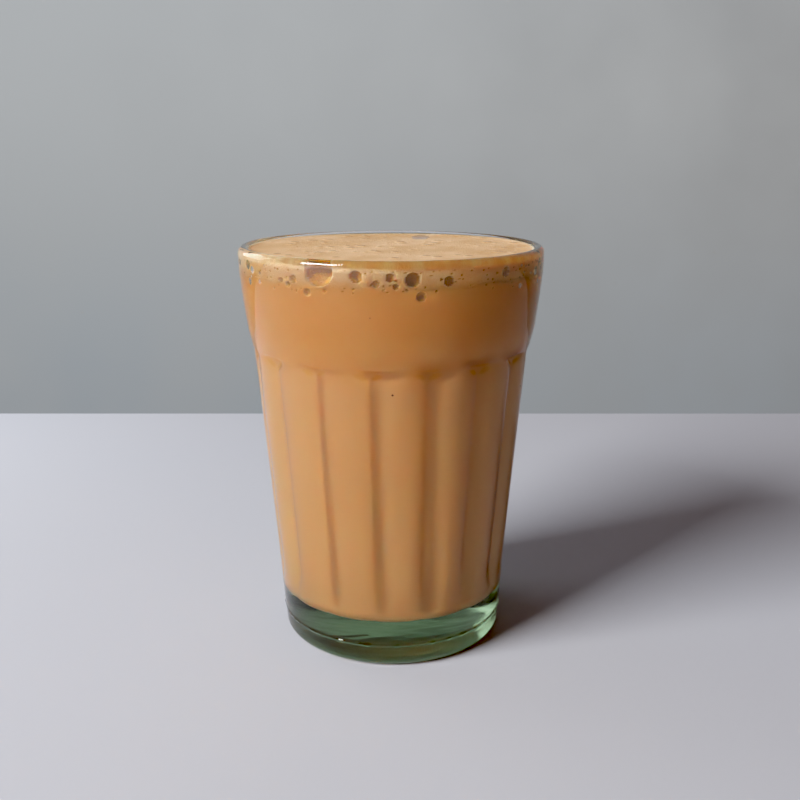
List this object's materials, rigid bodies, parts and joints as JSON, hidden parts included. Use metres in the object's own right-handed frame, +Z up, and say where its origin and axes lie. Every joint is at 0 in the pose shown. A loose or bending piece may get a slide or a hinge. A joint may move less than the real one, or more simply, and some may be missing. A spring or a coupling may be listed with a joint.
{
  "type": "glass of masala chai",
  "caption": "Pressed-glass tumbler with rounded upright panels, a smooth flared band under the rim and a thick base, filled almost to the brim with milky spiced tea under froth.",
  "frame": {"origin": "centre of the base, on the surface that the glass stands on", "axes": "+Z up along the axis of the glass, -Y towards the viewer of the picture"},
  "size_m": [0.0658, 0.0658, 0.088],
  "materials": {
    "glass": "clear pressed glass with a green tint",
    "tea": "milky liquid, glossy and opaque",
    "froth": "fine pale foam with larger bubbles"
  },
  "bodies": {
    "root": {"glass": "glass", "tea": "tea", "froth": "froth"}
  },
  "joints": []
}
